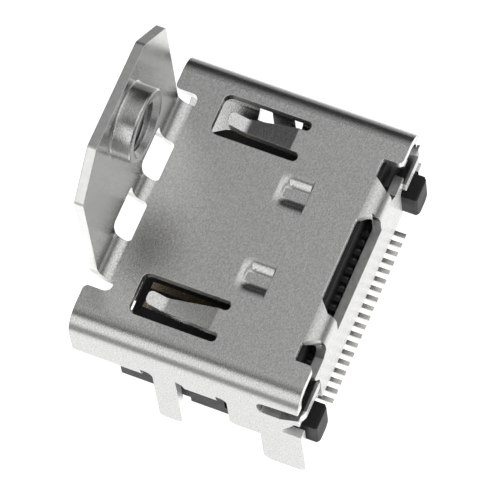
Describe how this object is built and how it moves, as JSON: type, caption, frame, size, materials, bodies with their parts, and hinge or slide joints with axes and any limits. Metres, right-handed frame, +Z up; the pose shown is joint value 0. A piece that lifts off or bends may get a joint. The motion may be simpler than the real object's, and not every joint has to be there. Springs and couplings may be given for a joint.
{
  "type": "hdmi socket",
  "caption": "Right-angle board socket for a flat digital video plug, with a folded metal shell, a tapped screw flange, board legs and surface-mount tails.",
  "frame": {"origin": "top surface of the circuit board, at the middle of the mouth's front face", "axes": "+Z up from the board, -Y out of the mouth towards the plug, +Y towards the solder tails, X across the mouth"},
  "size_m": [0.015, 0.0119, 0.0178],
  "materials": {
    "plated_steel": "satin nickel plate",
    "black_plastic": "moulded, fine matt",
    "plated_contact": "bright plated copper alloy"
  },
  "bodies": {
    "root": {"shell": "plated_steel", "housing": "black_plastic", "contact_01": "plated_contact", "contact_02": "plated_contact", "contact_03": "plated_contact", "contact_04": "plated_contact", "contact_05": "plated_contact", "contact_06": "plated_contact", "contact_07": "plated_contact", "contact_08": "plated_contact", "contact_09": "plated_contact", "contact_10": "plated_contact", "contact_11": "plated_contact", "contact_12": "plated_contact", "contact_13": "plated_contact", "contact_14": "plated_contact", "contact_15": "plated_contact", "contact_16": "plated_contact", "contact_17": "plated_contact", "contact_18": "plated_contact", "contact_19": "plated_contact"}
  },
  "joints": []
}
